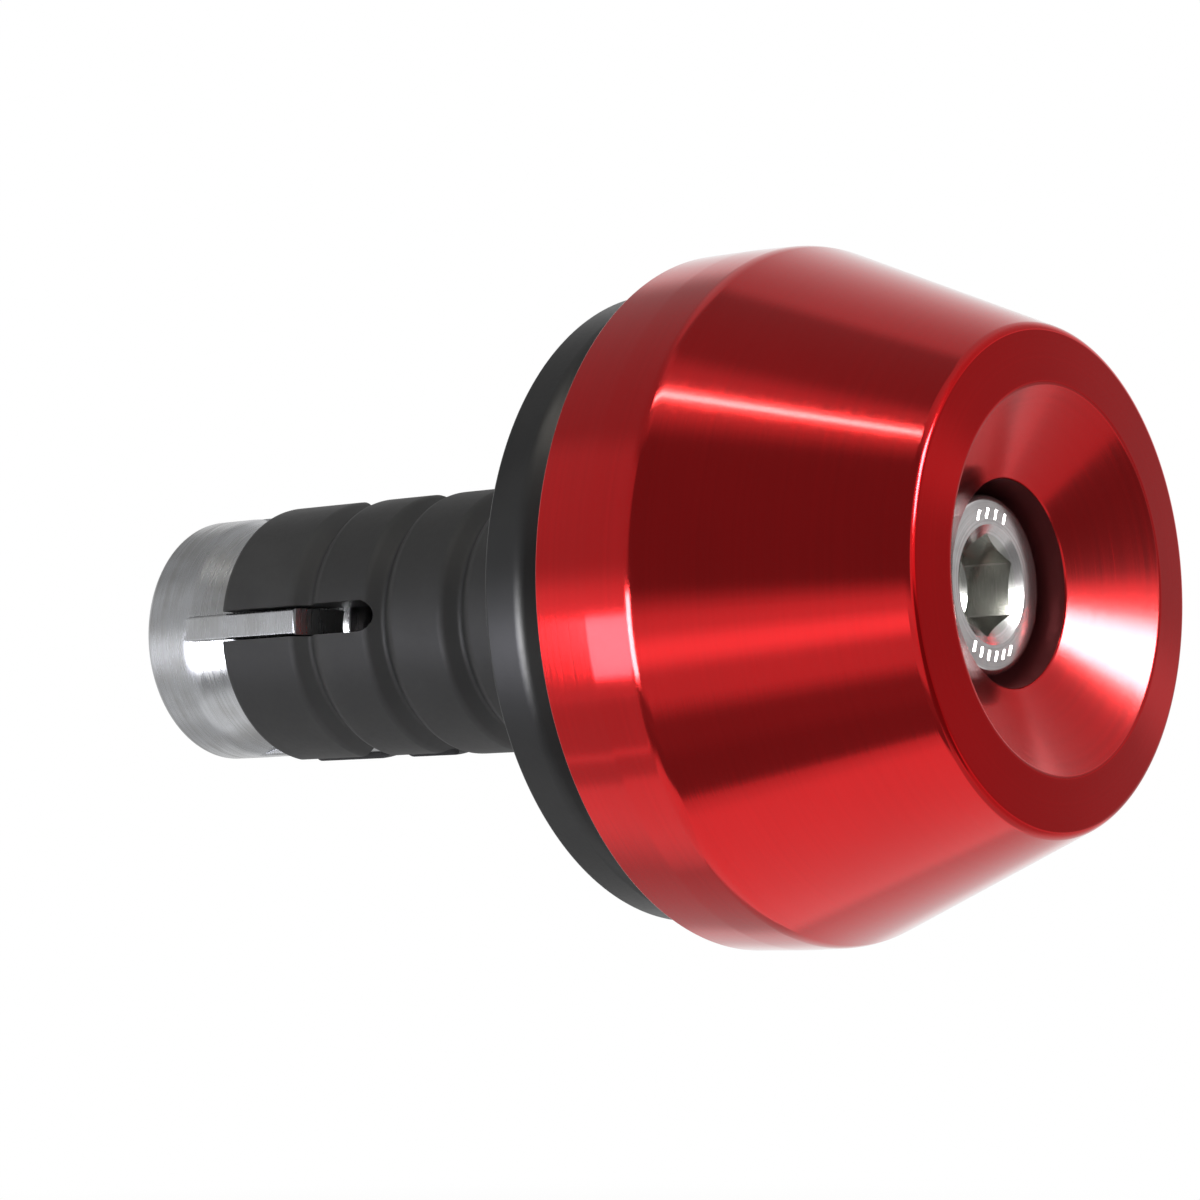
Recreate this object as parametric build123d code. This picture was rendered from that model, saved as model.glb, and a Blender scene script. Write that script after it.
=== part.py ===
from build123d import *
from math import cos, radians, sqrt, tan
import os

# Bar end weight for a handlebar, in millimetres.
# The axis is X: x = 0 is the plane that seats on the end of the bar, +X runs out of the front face
# and -X runs into the bar. Z is up.

# Weight body, turned from one aluminium bar
band_diameter = 40.0
band_width = 6.2
cone_length = 14.0
front_diameter = 28.0
front_ring_width = 3.25  # ring between the dish and the cone
front_ring_drop = 0.3  # from the dish's rim back to the cone's edge
dish_angle = 115.0  # included angle of the conical dish
head_sink = 1.2  # from the bottom of the dish down to the top of the screw's head
head_clearance = 0.75  # radial, screw's head in counterbore
hole_clearance = 0.3  # radial, screw in through hole
seat_width = 2.75  # ring that bears on the bar's end
spigot_length = 2.0  # centres the weight in the bar
spigot_inset = 0.25  # radial, spigot inside the plug's diameter
relief_width = 0.5  # groove round the spigot's root, so that the bar's end seats flat
relief_depth = 0.4
front_edge_chamfer = 0.5
rear_edge_chamfer = 0.4  # boss and spigot

# Spacer ring on the boss
ring_diameter = 36.6
ring_width = 5.0
ring_taper_width = 2.6  # taper beside the weight
ring_taper_depth = 1.5
ring_clearance = 0.1  # radial, ring on boss
running_gap = 0.5  # from the ring to the seat plane

# Socket head cap screw
screw_diameter = 6.0
head_diameter = 10.0
head_height = 6.0
head_edge_chamfer = 0.4
socket_across_flats = 5.0
socket_depth = 3.2
socket_tip_angle = 120.0  # included angle of the drilled bottom
socket_mouth_margin = 0.45  # radial, countersink past the hexagon's corners
socket_mouth_angle = 110.0  # included angle of the countersink
screw_overrun = 3.1  # past the back of the nut, which comes to a screw 55 mm long
screw_tip_chamfer = 0.8

# Clamp washer
washer_thickness = 1.6
washer_inset = 0.4  # radial, washer inside the plug's diameter
washer_clearance = 0.2  # radial, washer on screw
washer_edge_chamfer = 0.2  # on the bush's side, from the punch

# Rubber expander in the bore of the bar
plug_diameter = 16.0  # of the bush, before it is squeezed
bush_length = 26.0
bush_clearance = 0.5  # radial, bush on screw
bush_edge_chamfer = 0.6
lip_width = 1.2  # wall of the bush at its mouth
land_width = 4.0  # between the grooves round the bush
groove_width = 2.0
groove_depth = 0.8
slit_count = 4

# Cone nut in the mouth of the bush
nut_taper_angle = 30.0  # included angle of the nut and of the mouth
nut_nose_wall = 1.6
nut_travel = 4.5  # room ahead of the nut for tightening
nut_seat_clearance = 0.05  # radial, taper in mouth
nut_collar_inset = 0.4  # radial, collar inside the plug's diameter
nut_collar_length = 3.5
nut_edge_chamfer = 0.4
nut_entry_chamfer = 0.5  # where the thread leaves the back of the nut
nut_fin_width = 1.6
nut_fin_lead = 2.0  # length over which a fin rises from the nose
nut_fin_clearance = 0.15  # each side, fin in slit
thread_clearance = 0.02  # radial, nut on screw

# Radii that follow
spigot_radius = plug_diameter / 2 - spigot_inset
boss_radius = spigot_radius + relief_width + seat_width
dish_radius = front_diameter / 2 - front_ring_width
counterbore_radius = head_diameter / 2 + head_clearance
mouth_radius = plug_diameter / 2 - lip_width
collar_radius = plug_diameter / 2 - nut_collar_inset
nut_bore_radius = screw_diameter / 2 + thread_clearance
nut_nose_radius = nut_bore_radius + nut_nose_wall

# Stations along the axis
band_back = running_gap + ring_width
junction = band_back + band_width
front_edge = junction + cone_length
front = front_edge + front_ring_drop
dish_bottom = front - (dish_radius - counterbore_radius) / tan(radians(dish_angle / 2))
head_top = dish_bottom - head_sink
head_seat = head_top - head_height
spigot_end = -spigot_length
bush_front = spigot_end - washer_thickness
bush_back = bush_front - bush_length
nut_slope = tan(radians(nut_taper_angle / 2))
nut_engagement = (mouth_radius - nut_seat_clearance - nut_nose_radius) / nut_slope
nut_nose = bush_back + nut_engagement
collar_front = nut_nose - (collar_radius - nut_nose_radius) / nut_slope
nut_back = collar_front - nut_collar_length
screw_tip = nut_back - screw_overrun


def outline(*points):
    """A closed half section from (x, radius) points."""
    return make_face(Polyline(*points, close=True))


def corner(section, x, radius):
    """The corner of a half section nearest to (x, radius)."""
    return section.vertices().sort_by_distance((x, radius, 0))[0]


def turned(section):
    """The solid that a half section sweeps about the X axis."""
    return revolve(section, Axis.X)


def cone(base, radius, included_angle):
    """A cone on the axis, with its base at a station and its point towards the bar."""
    point = base - radius / tan(radians(included_angle / 2))
    return turned(outline((base, 0), (base, radius), (point, 0)))


def around_axis(solid, count):
    """Copies of a solid, evenly spaced round the X axis."""
    return [Rot(360 / count * index, 0, 0) * solid for index in range(count)]


def make_weight_body():
    """Cone, band, boss and spigot, with the dish, the counterbore and the screw's hole."""
    band, nose, hole = band_diameter / 2, front_diameter / 2, screw_diameter / 2 + hole_clearance
    section = outline(
        (front, dish_radius),
        (front_edge, nose),
        (junction, band),
        (band_back, band),
        (band_back, boss_radius),
        (0, boss_radius),
        (0, spigot_radius + relief_width),
        (relief_depth, spigot_radius + relief_width),
        (relief_depth, spigot_radius),
        (spigot_end, spigot_radius),
        (spigot_end, hole),
        (head_seat, hole),
        (head_seat, counterbore_radius),
        (dish_bottom, counterbore_radius),
    )
    section = chamfer(corner(section, front_edge, nose), front_edge_chamfer)
    rear_edges = [corner(section, 0, boss_radius), corner(section, spigot_end, spigot_radius)]
    return turned(chamfer(rear_edges, rear_edge_chamfer))


def make_spacer_ring():
    """Ring on the boss, against the back of the band and tapered towards it."""
    outer, inner = ring_diameter / 2, boss_radius + ring_clearance
    section = outline(
        (running_gap, inner),
        (running_gap, outer),
        (band_back - ring_taper_width, outer),
        (band_back, outer - ring_taper_depth),
        (band_back, inner),
    )
    return turned(section)


def make_socket():
    """Cutter for the socket: countersunk mouth, hexagon with corners up and down, drilled bottom."""
    flats_end = head_top - socket_depth
    apothem = socket_across_flats / 2
    sides = 6
    half_side_angle = 180 / sides
    hexagon = RegularPolygon(apothem, sides, major_radius=False, rotation=half_side_angle)
    flats = extrude(Plane.YZ.offset(flats_end) * hexagon, socket_depth)
    bottom = cone(flats_end, apothem, socket_tip_angle)
    rim_radius = apothem / cos(radians(half_side_angle)) + socket_mouth_margin
    countersink = cone(head_top, rim_radius, socket_mouth_angle)
    return flats + bottom + countersink


def make_cap_screw():
    """Screw with a plain shank at the thread's outside diameter."""
    head, shank = head_diameter / 2, screw_diameter / 2
    section = outline(
        (head_top, 0),
        (head_top, head),
        (head_seat, head),
        (head_seat, shank),
        (screw_tip, shank),
        (screw_tip, 0),
    )
    section = chamfer(corner(section, head_top, head), head_edge_chamfer)
    section = chamfer(corner(section, screw_tip, shank), screw_tip_chamfer)
    return turned(section) - make_socket()


def make_clamp_washer():
    """Washer between the spigot and the bush."""
    outer, inner = plug_diameter / 2 - washer_inset, screw_diameter / 2 + washer_clearance
    section = outline(
        (spigot_end, inner),
        (spigot_end, outer),
        (bush_front, outer),
        (bush_front, inner),
    )
    return turned(chamfer(corner(section, bush_front, outer), washer_edge_chamfer))


def make_slits():
    """Cutters for the round-ended slits that part the mouth of the bush into fingers."""
    length, width = nut_engagement + nut_travel, nut_fin_width + 2 * nut_fin_clearance
    slit = extrude(Pos(bush_back, 0) * SlotOverall(2 * length, width), plug_diameter)
    return around_axis(slit, slit_count)


def make_rubber_expander():
    """Bush with V grooves round it and a tapered, slit mouth for the nut."""
    outer, bore = plug_diameter / 2, screw_diameter / 2 + bush_clearance
    section = outline(
        (bush_front, bore),
        (bush_front, outer),
        (bush_back, outer),
        (bush_back, mouth_radius),
        (bush_back + (mouth_radius - bore) / nut_slope, bore),
    )
    rims = [corner(section, bush_front, outer), corner(section, bush_back, outer)]
    section = chamfer(rims, bush_edge_chamfer)
    pitch = land_width + groove_width
    groove_count = int((bush_length - land_width) / pitch)
    first_groove = (bush_front + bush_back - (groove_count - 1) * pitch) / 2
    groove = outline(
        (-groove_width / 2, outer),
        (0, outer - groove_depth),
        (groove_width / 2, outer),
    )
    for index in range(groove_count):
        section -= Pos(first_groove + index * pitch, 0) * groove
    return turned(section) - make_slits()


def make_fins():
    """Fins on the nut's taper, which run in the slits so that the nut can't turn with the screw."""
    half_width = nut_fin_width / 2
    root = sqrt(nut_nose_radius**2 - half_width**2)
    crest = sqrt(collar_radius**2 - half_width**2)
    profile = make_face(Plane.XZ * Polyline(
        (nut_nose, 0),
        (nut_nose, root),
        (nut_nose - nut_fin_lead, crest),
        (collar_front, crest),
        (collar_front, 0),
        close=True,
    ))
    return around_axis(extrude(profile, half_width, both=True), slit_count)


def make_cone_nut():
    """Tapered nut with a collar and fins, threaded on the screw."""
    section = outline(
        (nut_nose, 0),
        (nut_nose, nut_nose_radius),
        (collar_front, collar_radius),
        (nut_back, collar_radius),
        (nut_back, 0),
    )
    section = chamfer(corner(section, nut_back, collar_radius), nut_edge_chamfer)
    hole = outline(
        (nut_nose, 0),
        (nut_nose, nut_bore_radius),
        (nut_back + nut_entry_chamfer, nut_bore_radius),
        (nut_back, nut_bore_radius + nut_entry_chamfer),
        (nut_back, 0),
    )
    return turned(section) + make_fins() - turned(hole)


pieces = {
    "weight_body": make_weight_body(),
    "spacer_ring": make_spacer_ring(),
    "cap_screw": make_cap_screw(),
    "clamp_washer": make_clamp_washer(),
    "rubber_expander": make_rubber_expander(),
    "cone_nut": make_cone_nut(),
}

os.makedirs("parts", exist_ok=True)
for name, piece in pieces.items():
    export_step(piece, f"parts/{name}.step")
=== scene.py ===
import math

import bmesh
import bpy
from mathutils import Matrix, Quaternion, Vector


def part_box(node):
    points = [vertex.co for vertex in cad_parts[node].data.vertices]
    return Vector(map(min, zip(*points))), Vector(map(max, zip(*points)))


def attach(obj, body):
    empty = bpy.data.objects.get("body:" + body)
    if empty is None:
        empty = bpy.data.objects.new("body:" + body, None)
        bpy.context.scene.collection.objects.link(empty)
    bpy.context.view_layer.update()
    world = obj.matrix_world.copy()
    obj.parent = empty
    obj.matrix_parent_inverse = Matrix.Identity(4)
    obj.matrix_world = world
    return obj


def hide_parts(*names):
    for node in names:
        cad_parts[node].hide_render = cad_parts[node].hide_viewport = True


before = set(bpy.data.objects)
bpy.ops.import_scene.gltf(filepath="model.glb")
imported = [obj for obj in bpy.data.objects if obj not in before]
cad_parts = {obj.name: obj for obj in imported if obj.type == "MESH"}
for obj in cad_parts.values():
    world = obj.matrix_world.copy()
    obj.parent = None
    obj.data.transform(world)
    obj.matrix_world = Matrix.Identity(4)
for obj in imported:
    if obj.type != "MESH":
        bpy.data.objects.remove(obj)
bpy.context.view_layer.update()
print("frame loaded:", ", ".join(sorted(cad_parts)))

# Boxes of the solids give the stations along the axis, in metres
weightLow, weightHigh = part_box("weight_body")
ringLow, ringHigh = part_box("spacer_ring")
screwLow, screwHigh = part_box("cap_screw")
washerLow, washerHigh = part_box("clamp_washer")
bushLow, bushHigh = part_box("rubber_expander")
nutLow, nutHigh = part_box("cone_nut")
axis = Vector((1, 0, 0))


# Mesh helpers
meshing = {
    "roundSteps": 6,
    "mergeGap": 1e-7,
    "nearGap": 1e-6,
    "sharpAngle": math.radians(28),
    "flatWeight": 100,  # large faces stay flat beside their rounded edges
}


def drawProfile(bm, corners, closed=True):
    # corners are (station, radius, rounding) in order round the half section
    points = [bm.verts.new((station, 0, radius)) for station, radius, rounding in corners]
    pairs = list(zip(points, points[1:]))
    if closed:
        pairs.append((points[-1], points[0]))
    for pair in pairs:
        bm.edges.new(pair)
    for point, (station, radius, rounding) in zip(points, corners):
        if rounding:
            bmesh.ops.bevel(bm, geom=[point], offset=rounding, offset_type="OFFSET", affect="VERTICES",
                            segments=meshing["roundSteps"], profile=0.5, material=-1)


def spinProfile(bm, segments):
    bmesh.ops.spin(bm, geom=bm.verts[:] + bm.edges[:], cent=(0, 0, 0), axis=axis, dvec=(0, 0, 0),
                   angle=math.tau, steps=segments, use_merge=True)
    closeUp(bm)


def closeUp(bm):
    bmesh.ops.remove_doubles(bm, verts=bm.verts, dist=meshing["mergeGap"])
    bmesh.ops.recalc_face_normals(bm, faces=bm.faces)


def softShade(bm):
    for face in bm.faces:
        face.smooth = True
    for edge in bm.edges:
        edge.smooth = edge.calc_face_angle(0) < meshing["sharpAngle"]


def vertsOf(geom):
    return [part for part in geom if isinstance(part, bmesh.types.BMVert)]


def repeatCopies(bm, moves):
    one = bm.verts[:] + bm.edges[:] + bm.faces[:]
    for move in moves:
        copy = bmesh.ops.duplicate(bm, geom=one)["geom"]
        bmesh.ops.transform(bm, matrix=move, verts=vertsOf(copy))


def roundAxis(count):
    return [Matrix.Rotation(math.tau / count * index, 4, "X") for index in range(1, count)]


def toObject(name, bm):
    mesh = bpy.data.meshes.new(name)
    bm.to_mesh(mesh)
    bm.free()
    made = bpy.data.objects.new(name, mesh)
    bpy.context.scene.collection.objects.link(made)
    return made


def combine(body, tool, operation):
    # cuts or joins a tool into a body and throws the tool away
    step = body.modifiers.new("combine", "BOOLEAN")
    step.operation = operation
    step.solver = "EXACT"
    step.object = tool
    graph = bpy.context.evaluated_depsgraph_get()
    result = bpy.data.meshes.new_from_object(body.evaluated_get(graph))
    result.name = body.data.name + "Cut"
    body.modifiers.clear()
    body.data = result
    bpy.data.objects.remove(tool)


def seatPiece(piece, node, finish):
    bm = bmesh.new()
    bm.from_mesh(piece.data)
    softShade(bm)
    bm.to_mesh(piece.data)
    bm.free()
    piece.data.materials.clear()
    piece.data.materials.append(finish)
    flatten = piece.modifiers.new("flatFaces", "WEIGHTED_NORMAL")
    flatten.keep_sharp = True
    flatten.weight = meshing["flatWeight"]
    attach(piece, "root")
    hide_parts(node)
    print("piece", piece.name, len(piece.data.polygons), "faces")


# Shader helpers
class Wire:
    # a node's output socket, which can be used in arithmetic
    def __init__(self, tree, socket=None):
        self.tree = tree
        self.socket = socket

    def feed(self, slot, value):
        if isinstance(value, Wire):
            self.tree.links.new(value.socket, slot)
        else:
            slot.default_value = value

    def node(self, kind, settings=None, inputs=None, output=0):
        made = self.tree.nodes.new(kind)
        for key, value in (settings or {}).items():
            setattr(made, key, value)
        for key, value in (inputs or {}).items():
            self.feed(made.inputs[key], value)
        if isinstance(output, tuple):
            return [Wire(self.tree, made.outputs[key]) for key in output]
        return Wire(self.tree, made.outputs[output])

    def math(self, operation, *values, clamp=False):
        settings = {"operation": operation, "use_clamp": clamp}
        return self.node("ShaderNodeMath", settings, dict(enumerate(values)))

    def __add__(self, other):
        return self.math("ADD", self, other)

    def __radd__(self, other):
        return self.math("ADD", other, self)

    def __sub__(self, other):
        return self.math("SUBTRACT", self, other)

    def __rsub__(self, other):
        return self.math("SUBTRACT", other, self)

    def __mul__(self, other):
        return self.math("MULTIPLY", self, other)

    def __rmul__(self, other):
        return self.math("MULTIPLY", other, self)

    def __truediv__(self, other):
        return self.math("DIVIDE", self, other)

    def __rtruediv__(self, other):
        return self.math("DIVIDE", other, self)

    def __pow__(self, other):
        return self.math("POWER", self, other)

    def __rpow__(self, other):
        return self.math("POWER", other, self)

    def fade(self, start, end):
        # 0 at start, 1 at end, smooth between
        return self.node("ShaderNodeMapRange", {"interpolation_type": "SMOOTHSTEP"},
                         {"Value": self, "From Min": start, "From Max": end})

    def within(self, low, high, edge):
        # 1 between two values, falling to 0 over a soft edge outside them
        rise = self.fade(low - edge, low)
        return rise * (1 - self.fade(high, high + edge))

    def blend(self, first, second):
        # mixes two colours, with this value as the share of the second (6, 7 and 2 are the colour sockets)
        return self.node("ShaderNodeMix", {"data_type": "RGBA"}, {0: self, 6: first, 7: second}, output=2)


def startFinish(name):
    finish = bpy.data.materials.new(name)
    finish.use_nodes = True
    finish.node_tree.nodes.clear()
    return finish, Wire(finish.node_tree)


def endFinish(start, surface):
    start.node("ShaderNodeOutputMaterial", inputs={"Surface": surface}, output=())


def axisCoords(start):
    # station along the axis, distance from it, and the plain coordinates
    place = start.node("ShaderNodeTexCoord", output="Object")
    x, y, z = start.node("ShaderNodeSeparateXYZ", inputs={"Vector": place}, output=("X", "Y", "Z"))
    radius = (y * y + z * z) ** 0.5
    return place, x, radius


lineNoise = {"Scale": 1.0, "Detail": 2.0, "Roughness": 0.6}
fineNoise = lineNoise | {"Detail": 1.0}


def turningLines(start, x, radius, spacing, noise=lineNoise):
    # noise that changes along the section but not round the axis, as a lathe tool leaves it
    rings = start.node("ShaderNodeCombineXYZ", inputs={"X": x / spacing, "Y": radius / spacing, "Z": 0.0})
    return start.node("ShaderNodeTexNoise", {"noise_dimensions": "2D"}, noise | {"Vector": rings})


def cloudNoise(start, place, scale, detail):
    return start.node("ShaderNodeTexNoise", inputs={"Vector": place, "Scale": scale, "Detail": detail})


# Finishes
redAnodised = {
    "colour": (0.66, 0.0035, 0.006, 1),
    "deepColour": (0.60, 0.0025, 0.0045, 1),
    "cloudScale": 90.0,
    "cloudDetail": 2.0,
    "cloudShare": 0.7,  # of the colour's change, the rest follows the turning lines
    "cloudRange": (0.3, 0.7),
    # painted shade: the bore's wall takes a much darker red, standing in for the shade in the recess
    "borePaintedShade": (0.08, 0.013, 0.014, 1),
    "edgeTint": (1, 0.8, 0.8, 1),  # the dye stays red at shallow angles, under the clear film
    "coneRoughness": 0.1,
    "bandRoughness": 0.12,
    "lastPassRoughness": 0.11,
    "dishRoughness": 0.155,
    "boreRoughness": 0.5,
    "boreDulling": 0.2,  # matte share of the bore's wall
    "lineSpacing": 0.0003,
    "lineRoughness": 0.06,
    "bandLines": 0.2,  # share of the lines that shows on the band
    "lineHeight": 0.000002,
    "fineSpacing": 0.00006,
    "fineRoughness": 0.04,
    "fineHeight": 0.0000015,
    "dishHeight": 0.0000035,  # the dish is faced with a coarser feed
    "filmRoughness": 0.12,
    "filmIor": 1.33,
    "frontFilm": 0.3,  # the film is thinner on the front
    "dishFilm": 1.0,
    "dishFilmRoughness": 0.22,
    "dishTint": (1, 0.65, 0.65, 1),
    "zoneEdge": 0.00005,
}


def makeRedAnodised(zones):
    s = redAnodised
    finish, start = startFinish("redAnodised")
    place, x, radius = axisCoords(start)
    lines = turningLines(start, x, radius, s["lineSpacing"])
    fine = turningLines(start, x, radius, s["fineSpacing"], fineNoise)
    cloud = cloudNoise(start, place, s["cloudScale"], s["cloudDetail"])
    soft = s["zoneEdge"]
    onBand = x.within(zones["bandBack"], zones["junction"], soft)
    onLastPass = x.within(zones["lastPass"], zones["junction"], soft)
    pastDish = x.fade(zones["dishBottom"] - soft, zones["dishBottom"])
    inDish = pastDish * (1 - radius.fade(zones["dishRadius"], zones["dishRadius"] + soft))
    inBore = (1 - pastDish) * (1 - radius.fade(zones["boreRadius"] + soft, zones["boreRadius"] + 2 * soft))
    onFront = x.fade(zones["frontEdge"] - 4 * soft, zones["frontEdge"]) * (1 - inDish)
    shade = lines * (1 - s["cloudShare"]) + cloud * s["cloudShare"]
    dye = shade.fade(*s["cloudRange"]).blend(s["deepColour"], s["colour"])
    # painted shade blended in over the dye inside the bore
    colour = inBore.blend(dye, s["borePaintedShade"])
    base = (s["coneRoughness"] + onBand * (s["bandRoughness"] - s["coneRoughness"])
            + onLastPass * (s["lastPassRoughness"] - s["bandRoughness"])
            + inDish * (s["dishRoughness"] - s["coneRoughness"])
            + inBore * (s["boreRoughness"] - s["coneRoughness"]))
    spread = (lines - 0.5) * s["lineRoughness"] + (fine - 0.5) * s["fineRoughness"]
    fineHeight = s["fineHeight"] + inDish * (s["dishHeight"] - s["fineHeight"])
    height = lines * s["lineHeight"] + fine * fineHeight
    bump = start.node("ShaderNodeBump", inputs={"Strength": 1.0, "Distance": 1.0, "Height": height})
    shared = {
        "Base Color": colour,
        "Metallic": 1 - inBore * s["boreDulling"],
        "Roughness": base + spread * (1 - onBand * (1 - s["bandLines"])),
        "Normal": bump,
        "Coat IOR": s["filmIor"],
    }
    outside = start.node("ShaderNodeBsdfPrincipled", inputs=shared | {
        "Specular Tint": s["edgeTint"],
        "Coat Weight": 1 - inBore - onFront * (1 - s["frontFilm"]),
        "Coat Roughness": s["filmRoughness"],
    })
    dish = start.node("ShaderNodeBsdfPrincipled", inputs=shared | {
        "Specular Tint": s["dishTint"],
        "Coat Weight": s["dishFilm"],
        "Coat Roughness": s["dishFilmRoughness"],
    })
    endFinish(start, start.node("ShaderNodeMixShader", inputs={0: inDish, 1: outside, 2: dish}))
    return finish


greyRubber = {
    "colour": (0.006, 0.0063, 0.007, 1),
    "paleColour": (0.012, 0.0123, 0.0132, 1),
    "roughness": 0.37,
    "specular": 0.44,
    "grain": 0.00025,
    "grainHeight": 0.000012,
}
blackRubber = {
    "colour": (0.016, 0.016, 0.017, 1),
    "paleColour": (0.030, 0.030, 0.031, 1),
    "roughness": 0.6,
    "specular": 0.5,
    "grain": 0.00035,
    "grainHeight": 0.00001,
}
rubberTexture = {
    "grainDetail": 3.0,
    "grainRoughness": 0.1,
    "grainStrength": 0.4,
    "bloomScale": 160.0,  # pale bloom on the skin
    "bloomDetail": 4.0,
    "bloomRange": (0.45, 0.75),
    "bloomRoughness": 0.25,
}


def makeRubber(name, s):
    t = rubberTexture
    finish, start = startFinish(name)
    place = start.node("ShaderNodeTexCoord", output="Object")
    grain = cloudNoise(start, place, 1 / s["grain"], t["grainDetail"])
    bloom = cloudNoise(start, place, t["bloomScale"], t["bloomDetail"])
    colour = bloom.fade(*t["bloomRange"]).blend(s["colour"], s["paleColour"])
    roughness = s["roughness"] + (bloom - 0.5) * t["bloomRoughness"] + (grain - 0.5) * t["grainRoughness"]
    bump = start.node("ShaderNodeBump", inputs={
        "Strength": t["grainStrength"],
        "Distance": s["grainHeight"],
        "Height": grain,
    })
    surface = start.node("ShaderNodeBsdfPrincipled", inputs={
        "Base Color": colour,
        "Roughness": roughness,
        "Specular IOR Level": s["specular"],
        "Normal": bump,
    })
    endFinish(start, surface)
    return finish


stainless = {
    "colour": (0.82, 0.79, 0.79, 1),
    "dullColour": (0.58, 0.56, 0.56, 1),
    "roughness": 0.2,
    "spread": 0.16,
    "lineSpacing": 0.00012,
    "lineHeight": 0.000002,
    "socketShadeColour": (0.55, 0.55, 0.52, 1),  # painted shade, darker grey inside the socket
}
zincPlate = {
    "colour": (0.52, 0.53, 0.55, 1),
    "dullColour": (0.38, 0.38, 0.38, 1),
    "roughness": 0.28,
    "spread": 0.2,
    "lineSpacing": 0.00025,
    "lineHeight": 0.000003,
}
steelTexture = {
    "cloudScale": 420.0,
    "cloudDetail": 4.0,
    "cloudShare": 0.7,
    "cloudRange": (0.35, 0.7),
    "cloudRoughness": 0.12,
    "lineStrength": 0.5,
    "socketFade": 0.0005,  # along the axis
    "socketEdge": 0.00005,
}


def makeTurnedSteel(name, s, socket=None):
    t = steelTexture
    finish, start = startFinish(name)
    place, x, radius = axisCoords(start)
    lines = turningLines(start, x, radius, s["lineSpacing"])
    cloud = cloudNoise(start, place, t["cloudScale"], t["cloudDetail"])
    stain = (cloud * t["cloudShare"] + lines * (1 - t["cloudShare"])).fade(*t["cloudRange"])
    colour = stain.blend(s["colour"], s["dullColour"])
    if socket:
        across = radius.fade(socket["radius"] - t["socketEdge"], socket["radius"])
        inSocket = x.within(socket["bottom"], socket["mouth"], t["socketFade"]) * (1 - across)
        # painted shade inside the hex socket
        colour = inSocket.blend(colour, s["socketShadeColour"])
    roughness = s["roughness"] + (lines - 0.5) * s["spread"] + (cloud - 0.5) * t["cloudRoughness"]
    bump = start.node("ShaderNodeBump", inputs={
        "Strength": t["lineStrength"],
        "Distance": s["lineHeight"],
        "Height": lines,
    })
    surface = start.node("ShaderNodeBsdfPrincipled", inputs={
        "Base Color": colour,
        "Metallic": 1.0,
        "Roughness": roughness,
        "Normal": bump,
    })
    endFinish(start, surface)
    return finish


# Red weight, turned from one bar
weight = {
    "bandWidth": 0.0062,
    "frontRadius": 0.014,
    "frontRing": 0.00325,
    "frontDrop": 0.0003,  # from the dish's rim back to the cone's edge
    "dishAngle": math.radians(115),
    "boreRadius": 0.00575,
    "holeRadius": 0.0033,
    "bossRadius": 0.011,
    "spigotRadius": 0.00775,
    "reliefWidth": 0.0005,
    "reliefDepth": 0.0004,
    "lastPass": 0.0028,  # front stretch of the band, where the tool's last pass leans a little
    "lastPassLean": math.radians(2),
    "frontRound": 0.0004,
    "junctionRound": 0.0004,
    "bandRound": 0.0001,
    "rearRound": 0.0004,
    "rimRound": 0.00015,
    "boreRound": 0.00012,
    "segments": 256,
}


def makeWeight():
    s = weight
    front, bandBack, bandRadius = weightHigh.x, ringHigh.x, weightHigh.y
    junction = bandBack + s["bandWidth"]
    dishRadius = s["frontRadius"] - s["frontRing"]
    dishBottom = front - (dishRadius - s["boreRadius"]) / math.tan(s["dishAngle"] / 2)
    headSeat = screwHigh.x - screw["headHeight"]
    reliefRadius = s["spigotRadius"] + s["reliefWidth"]
    junctionRadius = bandRadius - s["lastPass"] * math.tan(s["lastPassLean"])
    bm = bmesh.new()
    drawProfile(bm, [
        (front, dishRadius, s["rimRound"]),
        (front - s["frontDrop"], s["frontRadius"], s["frontRound"]),
        (junction, junctionRadius, s["junctionRound"]),
        (junction - s["lastPass"], bandRadius, s["bandRound"]),
        (bandBack, bandRadius, s["bandRound"]),
        (bandBack, s["bossRadius"], 0),
        (0, s["bossRadius"], s["rearRound"]),
        (0, reliefRadius, 0),
        (s["reliefDepth"], reliefRadius, 0),
        (s["reliefDepth"], s["spigotRadius"], 0),
        (weightLow.x, s["spigotRadius"], s["rearRound"]),
        (weightLow.x, s["holeRadius"], 0),
        (headSeat, s["holeRadius"], 0),
        (headSeat, s["boreRadius"], 0),
        (dishBottom, s["boreRadius"], s["boreRound"]),
    ])
    spinProfile(bm, s["segments"])
    finish = makeRedAnodised({
        "bandBack": bandBack,
        "lastPass": junction - s["lastPass"],
        "junction": junction,
        "frontEdge": front - s["frontDrop"],
        "dishRadius": dishRadius,
        "dishBottom": dishBottom,
        "boreRadius": s["boreRadius"],
    })
    seatPiece(toObject("redWeight", bm), "weight_body", finish)


# Spacer ring behind the band
spacer = {
    "bore": 0.0111,
    "taperWidth": 0.0026,
    "taperDepth": 0.0015,
    "cornerRound": 0.0004,
    "edgeRound": 0.0002,
    "segments": 224,
}


def makeSpacer():
    s = spacer
    outer = ringHigh.y
    bm = bmesh.new()
    drawProfile(bm, [
        (ringLow.x, s["bore"], 0),
        (ringLow.x, outer, s["edgeRound"]),
        (ringHigh.x - s["taperWidth"], outer, s["cornerRound"]),
        (ringHigh.x, outer - s["taperDepth"], s["edgeRound"]),
        (ringHigh.x, s["bore"], 0),
    ])
    spinProfile(bm, s["segments"])
    seatPiece(toObject("greySpacer", bm), "spacer_ring", makeRubber("greyRubber", greyRubber))


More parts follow.
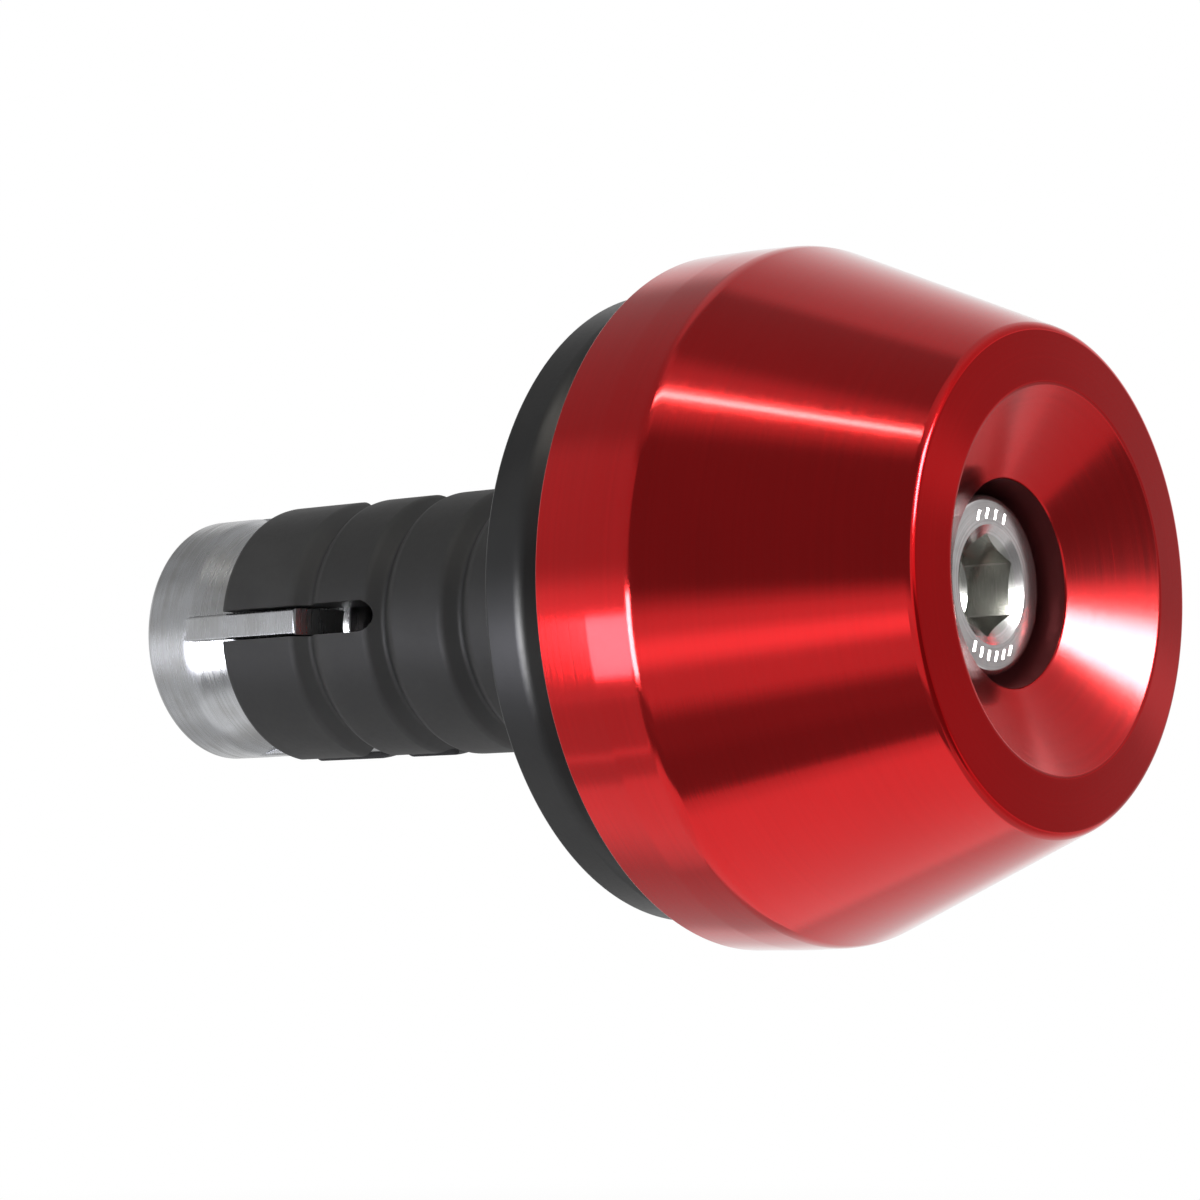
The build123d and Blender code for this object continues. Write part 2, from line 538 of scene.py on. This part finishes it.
# Socket head cap screw with its thread
screw = {
    "headRadius": 0.005,
    "headHeight": 0.006,
    "headRound": 0.0004,
    "seatRound": 0.0002,
    "shankRadius": 0.003,
    "socketSides": 6,
    "socketApothem": 0.0025,
    "socketDepth": 0.0032,
    "socketTip": math.radians(120),
    "mouthMargin": 0.00045,
    "mouthAngle": math.radians(118),
    "markRadius": 0.00395,
    "markSize": (0.00013, 0.00062),
    "markSlope": math.radians(24),
    "markSlant": math.radians(-21),
    "markRows": {0: (19, 4), 180: (27, 6)},  # at the top and the bottom: degrees to each side, strokes
    "pitch": 0.001,
    "threadLength": 0.024,
    "threadDepth": 0.00061,
    "crestWidth": 0.000125,
    "rootWidth": 0.00025,
    "tipChamfer": 0.0008,
    "segments": 96,
}


def aroundAxis(point):
    # degrees from straight up, round the axis
    return math.degrees(math.atan2(point.y, point.z)) % 360


def setRadius(vert, radius):
    scale = radius / math.hypot(vert.co.y, vert.co.z)
    vert.co.y *= scale
    vert.co.z *= scale


def extrudeLoop(bm, edges):
    made = bmesh.ops.extrude_edge_only(bm, edges=edges)["geom"]
    rim = [part for part in made if isinstance(part, bmesh.types.BMEdge) and part.is_boundary]
    return vertsOf(made), rim


def socketRadii():
    # the hexagon's corners and the rim of the countersink round them
    corner = screw["socketApothem"] / math.cos(math.pi / screw["socketSides"])
    return corner, corner + screw["mouthMargin"]


def cutSocket(bm, rim, top):
    s = screw
    rimRadius = socketRadii()[1]
    slope = math.tan(s["mouthAngle"] / 2)
    flatsEnd = top - s["socketDepth"]
    sector = 360 / s["socketSides"]
    verts, rim = extrudeLoop(bm, rim)
    for vert in verts:  # countersink down to the flats, in six scallops
        fromFlat = math.radians(aroundAxis(vert.co) % sector - sector / 2)
        setRadius(vert, s["socketApothem"] / math.cos(fromFlat))
        vert.co.x = top - (rimRadius - math.hypot(vert.co.y, vert.co.z)) / slope
    verts, rim = extrudeLoop(bm, rim)
    for vert in verts:  # flats
        vert.co.x = flatsEnd
    verts, rim = extrudeLoop(bm, rim)
    for vert in verts:  # flat ledge in to the drilled bottom
        setRadius(vert, s["socketApothem"])
    verts, rim = extrudeLoop(bm, rim)
    tip = Vector((flatsEnd - s["socketApothem"] / math.tan(s["socketTip"] / 2), 0, 0))
    bmesh.ops.pointmerge(bm, verts=verts, merge_co=tip)


def addMarks(bm, top):
    # rows of plain slanted strokes, each with one sloping side that catches the light
    s = screw
    wide, long = s["markSize"]
    high = wide * math.tan(s["markSlope"])
    for middle, (span, count) in s["markRows"].items():
        for index in range(count):
            turn = math.radians(middle - span + 2 * span * index / (count - 1))
            stroke = bmesh.ops.create_cube(bm, size=1)["verts"]
            bmesh.ops.scale(bm, verts=stroke, vec=(2 * high, wide, long))
            for vert in stroke:
                if vert.co.x > 0 and vert.co.y < 0:
                    vert.co.x = 0
            spot = Vector((top, math.sin(turn) * s["markRadius"], math.cos(turn) * s["markRadius"]))
            place = Matrix.Translation(spot) @ Matrix.Rotation(s["markSlant"], 4, "X")
            bmesh.ops.transform(bm, verts=stroke, matrix=place)


def makeThread(start, tip):
    # one turn of the groove, repeated along the shank and squared off at both ends
    s = screw
    flank = (s["pitch"] - s["crestWidth"] - s["rootWidth"]) / 2
    root = s["shankRadius"] - s["threadDepth"]
    runs = [(0, s["shankRadius"]), (s["crestWidth"], s["shankRadius"]), (s["crestWidth"] + flank, root),
            (s["pitch"] - flank, root), (s["pitch"], s["shankRadius"])]
    begin = start + s["pitch"]
    turns = math.ceil((begin - tip) / s["pitch"]) + 1
    bm = bmesh.new()
    points = [bm.verts.new((begin - run, 0, radius)) for run, radius in runs]
    edges = [bm.edges.new(pair) for pair in zip(points, points[1:])]
    climb = -axis * s["pitch"] / s["segments"]
    bmesh.ops.spin(bm, geom=points + edges, cent=(0, 0, 0), axis=-axis, dvec=climb, angle=math.tau,
                   steps=s["segments"], use_merge=False)
    repeatCopies(bm, [Matrix.Translation(-axis * s["pitch"] * index) for index in range(1, turns)])
    bmesh.ops.remove_doubles(bm, verts=bm.verts, dist=meshing["nearGap"])
    for station, outwards in ((start, axis), (tip, -axis)):
        bmesh.ops.bisect_plane(bm, geom=bm.verts[:] + bm.edges[:] + bm.faces[:], dist=meshing["mergeGap"],
                               plane_co=axis * station, plane_no=outwards, clear_outer=True)
    for vert in bm.verts:  # chamfer turned on the tip
        limit = s["shankRadius"] - s["tipChamfer"] + (vert.co.x - tip)
        if math.hypot(vert.co.y, vert.co.z) > limit:
            setRadius(vert, limit)
    thread = bpy.data.meshes.new("thread")
    bm.to_mesh(thread)
    bm.free()
    return thread


def boundaryAt(bm, station):
    return [edge for edge in bm.edges if edge.is_boundary
            and all(abs(vert.co.x - station) < meshing["nearGap"] for vert in edge.verts)]


def makeScrew():
    s = screw
    top, tip = screwHigh.x, screwLow.x
    seat, threadStart = top - s["headHeight"], tip + s["threadLength"]
    corner, rimRadius = socketRadii()
    runOut = s["pitch"] / 2
    bm = bmesh.new()
    drawProfile(bm, [
        (top, rimRadius, 0),
        (top, s["headRadius"], s["headRound"]),
        (seat, s["headRadius"], s["seatRound"]),
        (seat, s["shankRadius"], s["seatRound"]),
        (threadStart + runOut, s["shankRadius"], 0),
    ], closed=False)
    spinProfile(bm, s["segments"])
    cutSocket(bm, boundaryAt(bm, top), top)
    thread = makeThread(threadStart, tip)
    bm.from_mesh(thread)
    bpy.data.meshes.remove(thread)
    bmesh.ops.bridge_loops(bm, edges=boundaryAt(bm, threadStart + runOut) + boundaryAt(bm, threadStart))
    bmesh.ops.edgeloop_fill(bm, edges=boundaryAt(bm, tip))
    addMarks(bm, top)
    closeUp(bm)
    socket = {"bottom": seat, "mouth": top - s["mouthMargin"], "radius": corner}
    finish = makeTurnedSteel("stainless", stainless, socket)
    seatPiece(toObject("socketScrew", bm), "cap_screw", finish)


# Clamp washer between weight and bush
washer = {"hole": 0.0032, "edgeRound": 0.0003, "segments": 128}


def makeWasher(finish):
    s = washer
    outer = washerHigh.y
    bm = bmesh.new()
    drawProfile(bm, [
        (washerLow.x, s["hole"], 0),
        (washerLow.x, outer, s["edgeRound"]),
        (washerHigh.x, outer, s["edgeRound"]),
        (washerHigh.x, s["hole"], 0),
    ])
    spinProfile(bm, s["segments"])
    seatPiece(toObject("zincWasher", bm), "clamp_washer", finish)


# Rubber bush with its slit mouth
bush = {
    "bore": 0.0035,
    "lip": 0.0012,
    "edgeRound": 0.0006,
    "land": 0.004,
    "groove": 0.002,
    "grooveDepth": 0.0008,
    "grooveRound": 0.0003,
    "taper": math.radians(30),
    "slits": 4,
    "slitWidth": 0.0019,
    "slitLength": 0.01245,
    "slitSteps": 32,
    "segments": 160,
}


def makeSlitCutter():
    s = bush
    half = s["slitWidth"] / 2
    end = bushLow.x + s["slitLength"] - half
    bm = bmesh.new()
    bmesh.ops.create_circle(bm, segments=s["slitSteps"], radius=half, cap_ends=True)
    for vert in bm.verts:  # one end of the slit is round, the other runs out of the bush
        vert.co.x += end if vert.co.x > -meshing["mergeGap"] else bushLow.x - s["slitLength"]
    made = bmesh.ops.extrude_face_region(bm, geom=bm.faces[:])["geom"]
    bmesh.ops.translate(bm, verts=vertsOf(made), vec=(0, 0, bushHigh.z))
    bmesh.ops.translate(bm, verts=bm.verts, vec=(0, 0, s["bore"] / 2))
    repeatCopies(bm, roundAxis(s["slits"]))
    bmesh.ops.recalc_face_normals(bm, faces=bm.faces)
    return toObject("slitCutter", bm)


def makeBush():
    s = bush
    outer = bushHigh.y
    mouth = outer - s["lip"]
    pitch = s["land"] + s["groove"]
    length = bushHigh.x - bushLow.x
    count = int((length - s["land"]) / pitch)
    first = (bushLow.x + bushHigh.x - (count - 1) * pitch) / 2
    corners = [(bushLow.x, mouth, 0), (bushLow.x, outer, s["edgeRound"])]
    for index in range(count):
        middle = first + index * pitch
        corners += [
            (middle - s["groove"] / 2, outer, s["grooveRound"]),
            (middle, outer - s["grooveDepth"], s["grooveRound"]),
            (middle + s["groove"] / 2, outer, s["grooveRound"]),
        ]
    taperEnd = bushLow.x + (mouth - s["bore"]) / math.tan(s["taper"] / 2)
    corners += [(bushHigh.x, outer, s["edgeRound"]), (bushHigh.x, s["bore"], 0), (taperEnd, s["bore"], 0)]
    bm = bmesh.new()
    drawProfile(bm, corners)
    spinProfile(bm, s["segments"])
    piece = toObject("rubberBush", bm)
    combine(piece, makeSlitCutter(), "DIFFERENCE")
    seatPiece(piece, "rubber_expander", makeRubber("blackRubber", blackRubber))


# Cone nut with fins in the slits
nut = {
    "bore": 0.00302,
    "noseRadius": 0.00462,
    "collarLength": 0.0035,
    "edgeRound": 0.0004,
    "entry": 0.0005,
    "finWidth": 0.0016,
    "finLead": 0.002,
    "finRound": 0.00015,
    "finSteps": 3,
    "fins": 4,
    "segments": 128,
}


def makeFins():
    s = nut
    collarFront = nutLow.x + s["collarLength"]
    collar = nutHigh.y
    half = s["finWidth"] / 2
    crest = math.sqrt(collar ** 2 - half ** 2)
    overlap = s["collarLength"] / 4  # fins run a little way into the collar
    back = collarFront - overlap
    low = (s["bore"] + s["noseRadius"]) / 2  # foot inside the nut's wall
    middle = (crest + low) / 2
    bm = bmesh.new()
    bmesh.ops.create_cube(bm, size=1)
    bmesh.ops.scale(bm, verts=bm.verts, vec=(nutHigh.x - back, s["finWidth"], crest - low))
    bmesh.ops.translate(bm, verts=bm.verts, vec=((nutHigh.x + back) / 2, 0, middle))
    lead = [vert for vert in bm.verts if vert.co.x > collarFront and vert.co.z > middle]
    bmesh.ops.translate(bm, verts=lead, vec=(-s["finLead"], 0, 0))
    ridges = [edge for edge in bm.edges if all(vert.co.z > middle for vert in edge.verts)]
    bmesh.ops.bevel(bm, geom=ridges, offset=s["finRound"], offset_type="OFFSET", affect="EDGES",
                    segments=s["finSteps"], profile=0.5, material=-1)
    repeatCopies(bm, roundAxis(s["fins"]))
    return toObject("fins", bm)


def makeNut(finish):
    s = nut
    collar = nutHigh.y
    collarFront = nutLow.x + s["collarLength"]
    bm = bmesh.new()
    drawProfile(bm, [
        (nutHigh.x, s["bore"], 0),
        (nutHigh.x, s["noseRadius"], s["finRound"]),
        (collarFront, collar, s["edgeRound"]),
        (nutLow.x, collar, s["edgeRound"]),
        (nutLow.x, s["bore"] + s["entry"], 0),
        (nutLow.x + s["entry"], s["bore"], 0),
    ])
    spinProfile(bm, s["segments"])
    piece = toObject("finnedNut", bm)
    combine(piece, makeFins(), "UNION")
    seatPiece(piece, "cone_nut", finish)


makeWeight()
makeSpacer()
makeScrew()
zincFinish = makeTurnedSteel("zincPlate", zincPlate)
makeWasher(zincFinish)
makeBush()
makeNut(zincFinish)
print("pieces done")


# Camera, as the photograph was taken: level, and a little below the axis
shot = {
    "azimuth": math.radians(38.407),
    "elevation": math.radians(-5.538),
    "distance": 0.20938,
    "aim": Vector((0.006237, -0.015298, -0.001084)),
    "lens": 115.485,
    "clip": (0.01, 20),
}


def viewAxes():
    turn, rise = shot["azimuth"], shot["elevation"]
    back = Vector((math.sin(turn) * math.cos(rise), -math.cos(turn) * math.cos(rise), math.sin(rise)))
    right = Vector((math.cos(turn), math.sin(turn), 0))
    return right, back.cross(right), back


def makeCamera():
    right, up, back = viewAxes()
    lens = bpy.data.cameras.new("camera")
    lens.lens = shot["lens"]
    lens.clip_start, lens.clip_end = shot["clip"]
    camera = bpy.data.objects.new("camera", lens)
    bpy.context.scene.collection.objects.link(camera)
    camera.location = shot["aim"] + back * shot["distance"]
    camera.rotation_euler = Matrix((right, up, back)).transposed().to_euler()
    bpy.context.scene.camera = camera


# Studio. Turn is the bearing round the object from straight behind it to the right, rise the height above it,
# both as the camera sees them. Wide and tall are a card's angles as seen from the target, and lean turns it
# about that line, all in degrees. Soft is the share of a card's half width and half height that fades out
target = Vector((0.0166, 0, 0))  # on the axis, and faced by every lamp and card
lamps = {
    "keyBox": dict(turn=123, rise=26, distance=0.45, size=(0.118, 0.148), radiance=64, tint=(1, 1, 1)),
    "topStrip": dict(turn=-142, rise=62.6, distance=0.5, size=(0.3, 0.011), radiance=48,
                     tint=(1, 0.95, 0.85)),
    "sideBox": dict(turn=-116, rise=-12, distance=0.4, size=(0.15, 0.11), radiance=8.5,
                    tint=(0.96, 0.96, 1.1)),
    "edgeStrip": dict(turn=-128, rise=-9.8, distance=0.45, size=(0.07, 0.185), radiance=37, tint=(1, 1, 1)),
}
cards = {
    "leftHigh": dict(turn=-66, rise=44, distance=0.95, wide=92, tall=50, level=0.35, soft=(0.4, 0.4)),
    "leftSide": dict(turn=-102, rise=22, distance=0.9, wide=64, tall=44, level=0.5, soft=(0.45, 0.45)),
    "leftGlow": dict(turn=-102, rise=-9, distance=0.86, wide=30, tall=30, level=1.15, soft=(0.9, 0.9)),
    "leftUnder": dict(turn=-96, rise=-36, distance=0.88, wide=36, tall=22, level=0.58, soft=(0.2, 0.2),
                      lean=-13),
    "leftLine": dict(turn=-93, rise=-39.5, distance=0.84, wide=34, tall=2, level=1.0, soft=(0.3, 0.5),
                     lean=-13),
    "leftLow": dict(turn=-94, rise=-58, distance=0.86, wide=54, tall=25, level=0.95, soft=(0.6, 0.1),
                    lean=-13),
    "backLow": dict(turn=-40, rise=-54, distance=0.97, wide=70, tall=36, level=0.5, soft=(0.4, 0.4)),
    "overhead": dict(turn=-60, rise=85, distance=0.93, wide=36, tall=34, level=0.28, soft=(0.4, 0.4)),
    "lensSide": dict(turn=-165, rise=28, distance=0.8, wide=92, tall=68, level=0.21, soft=(0.2, 0.4)),
    "lensPanel": dict(turn=-144, rise=-14.5, distance=0.7, wide=50, tall=15, level=1.5, soft=(0.4, 0.9)),
    "lensDim": dict(turn=-174, rise=-40, distance=0.79, wide=96, tall=22, level=0.28, soft=(0.2, 0.8)),
    "lensLow": dict(turn=-174, rise=-50, distance=0.8, wide=96, tall=24, level=0.23, soft=(0.2, 0.2)),
    "below": dict(turn=10, rise=-86, distance=0.98, wide=60, tall=64, level=1.02, soft=(0.3, 0.25)),
    "backRight": dict(turn=40, rise=-9, distance=0.92, wide=30, tall=22, level=0.45, soft=(0.4, 0.4)),
    "rightHigh": dict(turn=72, rise=38, distance=0.94, wide=52, tall=28, level=0.58, soft=(0.35, 0.35)),
    "rightSide": dict(turn=77, rise=2, distance=0.9, wide=64, tall=44, level=0.38, soft=(0.2, 0.2)),
    "rightUnder": dict(turn=88, rise=-32, distance=0.88, wide=50, tall=20, level=0.56, soft=(0.4, 0.4)),
    "rightStripe": dict(turn=69.5, rise=4, distance=0.87, wide=44, tall=7, level=0.6, soft=(0.2, 0.9),
                        lean=-22),
    "rightDeep": dict(turn=110, rise=-55, distance=0.86, wide=80, tall=30, level=0.58, soft=(0.5, 0.5)),
    "rightLow": dict(turn=123, rise=-15, distance=0.85, wide=40, tall=44, level=0.2, soft=(0.35, 0.3)),
}
floor = {
    "drop": 0.04,
    "size": 2.0,
    "colour": (0.85, 0.85, 0.85, 1),
    "lift": 0.35,  # towards white under the object
    "fade": (0.03, 0.13),  # from there to all white
}
world = {
    "seen": 1.0,
    "fill": 0.45,
    "horizon": 0.88,
    "ceiling": 0.5,
    "ceilingRise": (10, 75),
    "ground": 0.74,
    "groundRise": (-10, -20),
}


def seenBy(start):
    # 1 where the camera, a reflection or clear glass looks at it, 0 where it only lights the object
    camera, glossy, through = start.node("ShaderNodeLightPath", output=(
        "Is Camera Ray", "Is Glossy Ray", "Is Transmission Ray"))
    return start.math("ADD", camera + glossy, through, clamp=True)


def towards(turn, rise):
    right, up, back = viewAxes()
    turn, rise = math.radians(turn), math.radians(rise)
    across, deep = math.sin(turn) * math.cos(rise), math.cos(turn) * math.cos(rise)
    return right * across - back * deep + up * math.sin(rise)


def placeFacing(made, s):
    direction = towards(s["turn"], s["rise"])
    made.location = target + direction * s["distance"]
    facing = direction.to_track_quat("Z", "Y") @ Quaternion((0, 0, 1), math.radians(s.get("lean", 0)))
    made.rotation_euler = facing.to_euler()
    made.visible_camera = False


def makeLamps():
    for name, s in lamps.items():
        data = bpy.data.lights.new(name, "AREA")
        data.shape = "RECTANGLE"
        data.size, data.size_y = s["size"]
        data.energy = s["radiance"] * math.pi * data.size * data.size_y
        data.color = s["tint"]
        lamp = bpy.data.objects.new(name, data)
        bpy.context.scene.collection.objects.link(lamp)
        placeFacing(lamp, s)


def makeCards():
    for name, s in cards.items():
        finish, start = startFinish(name)
        glow = start.node("ShaderNodeEmission", inputs={"Color": (1, 1, 1, 1), "Strength": s["level"]})
        place = start.node("ShaderNodeTexCoord", output="Object")
        x, y = start.node("ShaderNodeSeparateXYZ", inputs={"Vector": place}, output=("X", "Y"))
        halfWide = s["distance"] * math.tan(math.radians(s["wide"] / 2))
        halfTall = s["distance"] * math.tan(math.radians(s["tall"] / 2))
        acrossEdge, upEdge = halfWide * s["soft"][0], halfTall * s["soft"][1]
        inside = (x.within(-halfWide + acrossEdge, halfWide - acrossEdge, acrossEdge)
                  * y.within(-halfTall + upEdge, halfTall - upEdge, upEdge))
        clear = start.node("ShaderNodeBsdfTransparent")
        endFinish(start, start.node("ShaderNodeMixShader", inputs={0: inside, 1: clear, 2: glow}))
        bm = bmesh.new()
        bmesh.ops.create_grid(bm, x_segments=1, y_segments=1, size=1)
        bmesh.ops.scale(bm, verts=bm.verts, vec=(halfWide, halfTall, 1))
        card = toObject(name, bm)
        card.data.materials.append(finish)
        placeFacing(card, s)
        card.visible_diffuse = False
        card.visible_shadow = False
        card.visible_transmission = False


def makeFloor():
    s = floor
    finish, start = startFinish("paleFloor")
    place = start.node("ShaderNodeTexCoord", output="Object")
    away = start.node("ShaderNodeVectorMath", {"operation": "LENGTH"}, {0: place}, output="Value")
    lift = s["lift"] + away.fade(*s["fade"]) * (1 - s["lift"])
    matt = start.node("ShaderNodeBsdfDiffuse", inputs={"Color": s["colour"]})
    glow = start.node("ShaderNodeEmission", inputs={"Color": (1, 1, 1, 1), "Strength": world["seen"]})
    shown = start.node("ShaderNodeMixShader", inputs={0: lift * seenBy(start), 1: matt, 2: glow})
    below = start.node("ShaderNodeNewGeometry", output="Backfacing")
    clear = start.node("ShaderNodeBsdfTransparent")
    endFinish(start, start.node("ShaderNodeMixShader", inputs={0: below, 1: shown, 2: clear}))
    bm = bmesh.new()
    bmesh.ops.create_grid(bm, x_segments=1, y_segments=1, size=s["size"])
    ground = toObject("paleFloor", bm)
    ground.location.z = -s["drop"]
    ground.data.materials.append(finish)
    ground.visible_glossy = False  # reflections look past it into the white surround and the cards


def makeWorld():
    s = world
    surround = bpy.data.worlds.new("studio")
    surround.use_nodes = True
    surround.node_tree.nodes.clear()
    start = Wire(surround.node_tree)
    direction = start.node("ShaderNodeTexCoord", output="Generated")
    height = start.node("ShaderNodeSeparateXYZ", inputs={"Vector": direction}, output="Z")
    glossy = start.node("ShaderNodeLightPath", output="Is Glossy Ray")
    rise = start.math("ARCSINE", height)
    overhead = rise.fade(*map(math.radians, s["ceilingRise"]))
    underfoot = rise.fade(*map(math.radians, s["groundRise"]))
    # reflections see a dim ceiling and ground
    mirrored = (s["horizon"] + overhead * (s["ceiling"] - s["horizon"])
                + underfoot * (s["ground"] - s["horizon"]))
    shown = s["seen"] + glossy * (mirrored - s["seen"])
    strength = s["fill"] + seenBy(start) * (shown - s["fill"])
    light = start.node("ShaderNodeBackground", inputs={"Color": (1, 1, 1, 1), "Strength": strength})
    start.node("ShaderNodeOutputWorld", inputs={"Surface": light}, output=())
    bpy.context.scene.world = surround


makeCamera()
makeLamps()
makeCards()
makeFloor()
makeWorld()
bpy.context.scene.view_settings.view_transform = "Standard"
print("studio done")
